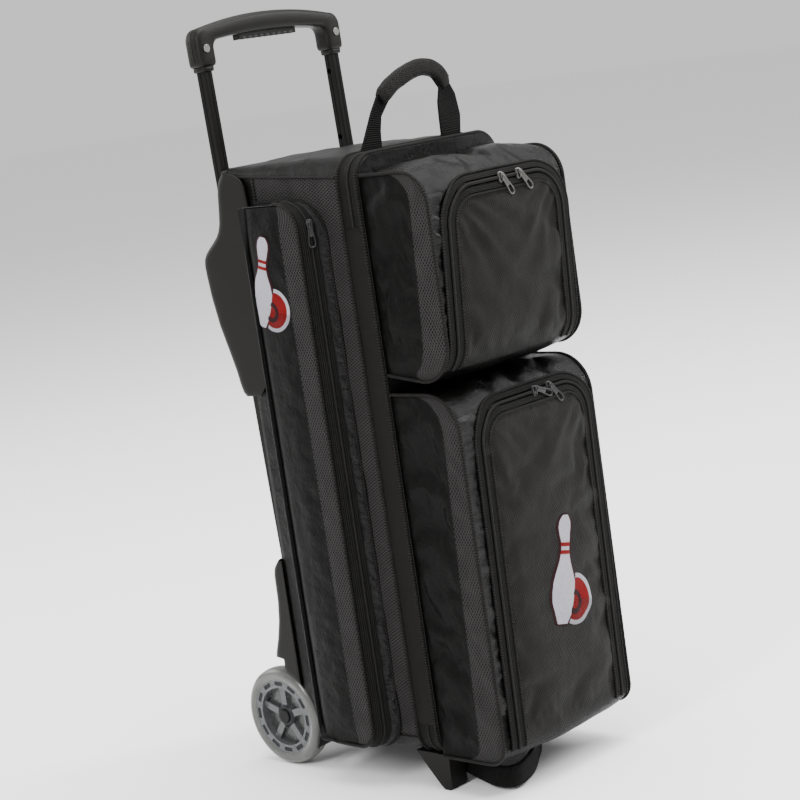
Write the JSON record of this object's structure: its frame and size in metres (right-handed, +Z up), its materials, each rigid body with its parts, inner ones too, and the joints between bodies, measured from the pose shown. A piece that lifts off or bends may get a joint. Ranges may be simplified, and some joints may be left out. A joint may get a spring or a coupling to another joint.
{
  "type": "rolling bowling bag",
  "caption": "Upright soft-sided bowling bag on rear wheels, with ball bays behind a hinged front door, zipped pouches, a side pocket, a carry handle and a telescoping pull handle.",
  "frame": {"origin": "on the floor, below the middle of the bounding box", "axes": "+X to the bag's right seen from the front, +Y to the back where the wheels and the pull handle are, +Z up"},
  "size_m": [0.2798, 0.4406, 0.944],
  "materials": {
    "cover_fabric": "plain-weave nylon, coated, slight sheen",
    "panel_fabric": "small-figured dobby weave",
    "board": "matt extruded sheet",
    "foam": "closed-cell foam, matt",
    "shell_plastic": "fine-textured moulding",
    "grip_plastic": "satin moulding",
    "tube_metal": "black satin coating on aluminium",
    "bright_steel": "bright",
    "tyre_rubber": "smooth grey soft plastic",
    "wheel_plastic": "pale grey, slightly translucent",
    "webbing": "ribbed polypropylene webbing",
    "wrap_fabric": "padded woven wrap",
    "zip_metal": "black enamel"
  },
  "bodies": {
    "bag": {"outer_cover": "cover_fabric", "left_board": "board", "right_board": "board", "top_board": "board", "base_board": "board", "back_wall": "board", "ball_cup_lower": "foam", "ball_cup_middle": "foam", "ball_cup_upper": "foam", "upper_back_shell": "shell_plastic", "lower_back_shell": "shell_plastic", "shell_rivets": "bright_steel", "outer_tubes": "tube_metal", "axle_bolts": "bright_steel", "axle_blocks": "shell_plastic", "front_feet": "shell_plastic", "foot_screws": "bright_steel", "bottom_grab_strap": "webbing", "side_pocket_gusset": "cover_fabric"},
    "handle": {"inner_tubes": "tube_metal", "grip_front_half": "grip_plastic", "grip_rear_half": "grip_plastic", "grip_rivets": "bright_steel", "squeeze_springs": "bright_steel"},
    "squeeze": {"squeeze_bar": "grip_plastic", "lift_rods": "bright_steel"},
    "left_pin": {"lock_pin_left": "bright_steel"},
    "right_pin": {"lock_pin_right": "bright_steel"},
    "left_wheel": {"left_tyre": "tyre_rubber", "left_wheel_core": "wheel_plastic", "left_bearings": "bright_steel"},
    "right_wheel": {"right_tyre": "tyre_rubber", "right_wheel_core": "wheel_plastic", "right_bearings": "bright_steel"},
    "door": {"door_gusset": "cover_fabric", "door_board": "board", "upper_pouch": "cover_fabric", "lower_pouch": "cover_fabric"},
    "upper_flap_panel": {"upper_flap": "panel_fabric"},
    "lower_flap_panel": {"lower_flap": "panel_fabric"},
    "side_panel": {"side_pocket_panel": "panel_fabric"},
    "carry_handle": {"carry_handle_webbing": "webbing", "carry_handle_wrap": "wrap_fabric"},
    "upper_left_slider_body": {"upper_left_slider": "zip_metal"},
    "upper_left_pull_body": {"upper_left_pull": "zip_metal"},
    "upper_right_slider_body": {"upper_right_slider": "zip_metal"},
    "upper_right_pull_body": {"upper_right_pull": "zip_metal"},
    "lower_left_slider_body": {"lower_left_slider": "zip_metal"},
    "lower_left_pull_body": {"lower_left_pull": "zip_metal"},
    "lower_right_slider_body": {"lower_right_slider": "zip_metal"},
    "lower_right_pull_body": {"lower_right_pull": "zip_metal"},
    "door_slider_body": {"door_slider": "zip_metal"},
    "door_pull_body": {"door_pull": "zip_metal"},
    "pocket_slider_body": {"pocket_slider": "zip_metal"},
    "pocket_pull_body": {"pocket_pull": "zip_metal"}
  },
  "joints": [
    {"name": "handle_slide", "type": "slide", "parent": "bag", "child": "handle", "axis": [0, 0.0314, 0.9995], "range_m": [-0.12, 0.075]},
    {"name": "squeeze_press", "type": "slide", "parent": "handle", "child": "squeeze", "axis": [0, 0.0314, 0.9995], "range_m": [0, 0.004], "stiffness_N_per_m": 800, "springref_m": -0.002, "deforming": ["squeeze_springs"]},
    {"name": "left_pin_slide", "type": "slide", "parent": "handle", "child": "left_pin", "axis": [1, 0, 0], "range_m": [0, 0.003]},
    {"name": "right_pin_slide", "type": "slide", "parent": "handle", "child": "right_pin", "axis": [-1, 0, 0], "range_m": [0, 0.003]},
    {"name": "left_wheel_spin", "type": "hinge", "parent": "bag", "child": "left_wheel", "pos_m": [-0.0969, 0.1568, 0.0635], "axis": [1, 0, 0], "continuous": true},
    {"name": "right_wheel_spin", "type": "hinge", "parent": "bag", "child": "right_wheel", "pos_m": [0.1211, 0.1568, 0.0635], "axis": [1, 0, 0], "continuous": true},
    {"name": "door_swing", "type": "hinge", "parent": "bag", "child": "door", "pos_m": [-0.1112, -0.1002, 0.4], "axis": [0, 0, -1], "range_deg": [0, 105]},
    {"name": "upper_flap_fold", "type": "hinge", "parent": "door", "child": "upper_flap_panel", "pos_m": [0.0221, -0.2157, 0.5138], "axis": [1, 0, 0], "range_deg": [0, 150]},
    {"name": "lower_flap_fold", "type": "hinge", "parent": "door", "child": "lower_flap_panel", "pos_m": [0.0221, -0.2157, 0.0618], "axis": [1, 0, 0], "range_deg": [0, 88]},
    {"name": "side_panel_swing", "type": "hinge", "parent": "bag", "child": "side_panel", "pos_m": [-0.1399, 0.0602, 0.387], "axis": [0, 0, -1], "range_deg": [0, 100]},
    {"name": "carry_handle_fold", "type": "hinge", "parent": "bag", "child": "carry_handle", "pos_m": [0.0221, -0.084, 0.768], "axis": [1, 0, 0], "range_deg": [-80, 80]},
    {"name": "upper_left_slider_run", "type": "slide", "parent": "upper_flap_panel", "child": "upper_left_slider_body", "axis": [1, 0, 0], "range_m": [-0.068, 0]},
    {"name": "upper_left_pull_swing", "type": "hinge", "parent": "upper_left_slider_body", "child": "upper_left_pull_body", "pos_m": [0.0141, -0.2195, 0.7092], "axis": [-1, 0, 0], "range_deg": [0, 120]},
    {"name": "upper_right_slider_run", "type": "slide", "parent": "upper_flap_panel", "child": "upper_right_slider_body", "axis": [1, 0, 0], "range_m": [0, 0.052]},
    {"name": "upper_right_pull_swing", "type": "hinge", "parent": "upper_right_slider_body", "child": "upper_right_pull_body", "pos_m": [0.0461, -0.2195, 0.7092], "axis": [-1, 0, 0], "range_deg": [0, 120]},
    {"name": "lower_left_slider_run", "type": "slide", "parent": "lower_flap_panel", "child": "lower_left_slider_body", "axis": [1, 0, 0], "range_m": [-0.08, 0]},
    {"name": "lower_left_pull_swing", "type": "hinge", "parent": "lower_left_slider_body", "child": "lower_left_pull_body", "pos_m": [0.0261, -0.2195, 0.4572], "axis": [-1, 0, 0], "range_deg": [0, 120]},
    {"name": "lower_right_slider_run", "type": "slide", "parent": "lower_flap_panel", "child": "lower_right_slider_body", "axis": [1, 0, 0], "range_m": [0, 0.042]},
    {"name": "lower_right_pull_swing", "type": "hinge", "parent": "lower_right_slider_body", "child": "lower_right_pull_body", "pos_m": [0.0561, -0.2195, 0.4572], "axis": [-1, 0, 0], "range_deg": [0, 120]},
    {"name": "door_slider_run", "type": "slide", "parent": "bag", "child": "door_slider_body", "axis": [0, 0, 1], "range_m": [-0.55, 0.08]},
    {"name": "door_pull_swing", "type": "hinge", "parent": "door_slider_body", "child": "door_pull_body", "pos_m": [0.1391, -0.094, 0.6412], "axis": [0, -1, 0], "range_deg": [0, 120]},
    {"name": "pocket_slider_run", "type": "slide", "parent": "bag", "child": "pocket_slider_body", "axis": [0, 0, 1], "range_m": [-0.6, 0.015]},
    {"name": "pocket_pull_swing", "type": "hinge", "parent": "pocket_slider_body", "child": "pocket_pull_body", "pos_m": [-0.12772, -0.04654, 0.6912], "axis": [-0.7731, 0.6342, 0], "range_deg": [0, 120]}
  ],
  "couplings": [
    {"joint": "left_pin_slide", "follows": "squeeze_press", "ratio": 0.75},
    {"joint": "right_pin_slide", "follows": "squeeze_press", "ratio": 0.75}
  ]
}
